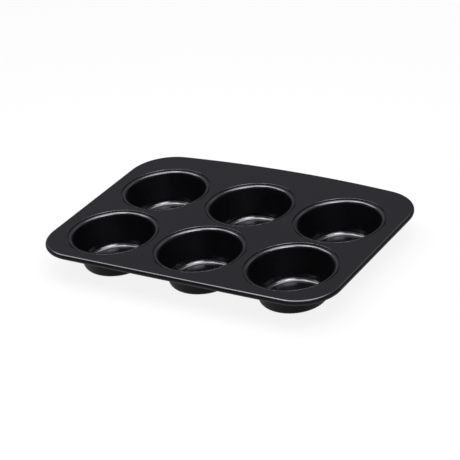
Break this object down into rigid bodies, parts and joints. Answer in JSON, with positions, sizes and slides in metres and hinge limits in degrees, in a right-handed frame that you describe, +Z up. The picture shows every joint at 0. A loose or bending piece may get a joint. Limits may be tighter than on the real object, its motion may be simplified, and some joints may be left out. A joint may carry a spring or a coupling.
{
  "type": "muffin pan",
  "caption": "Black coated muffin pan: a flat deck with round corners, a wire-stiffened rolled rim and a swelling rear edge, holding tapered cups whose rounded lips lie in sunken seats.",
  "frame": {"origin": "on the table under the middle of the pan, in the plane of the cups' flat bases", "axes": "+X along the long side to the right, +Y to the swelling rear edge, +Z up"},
  "size_m": [0.3, 0.219, 0.031],
  "materials": {
    "coating": "satin black non-stick coating on pressed steel",
    "wire": "drawn steel wire"
  },
  "bodies": {
    "root": {"deck": "coating", "rim_wire": "wire", "cup_front_left": "coating", "cup_front_middle": "coating", "cup_front_right": "coating", "cup_rear_left": "coating", "cup_rear_middle": "coating", "cup_rear_right": "coating"}
  },
  "joints": []
}
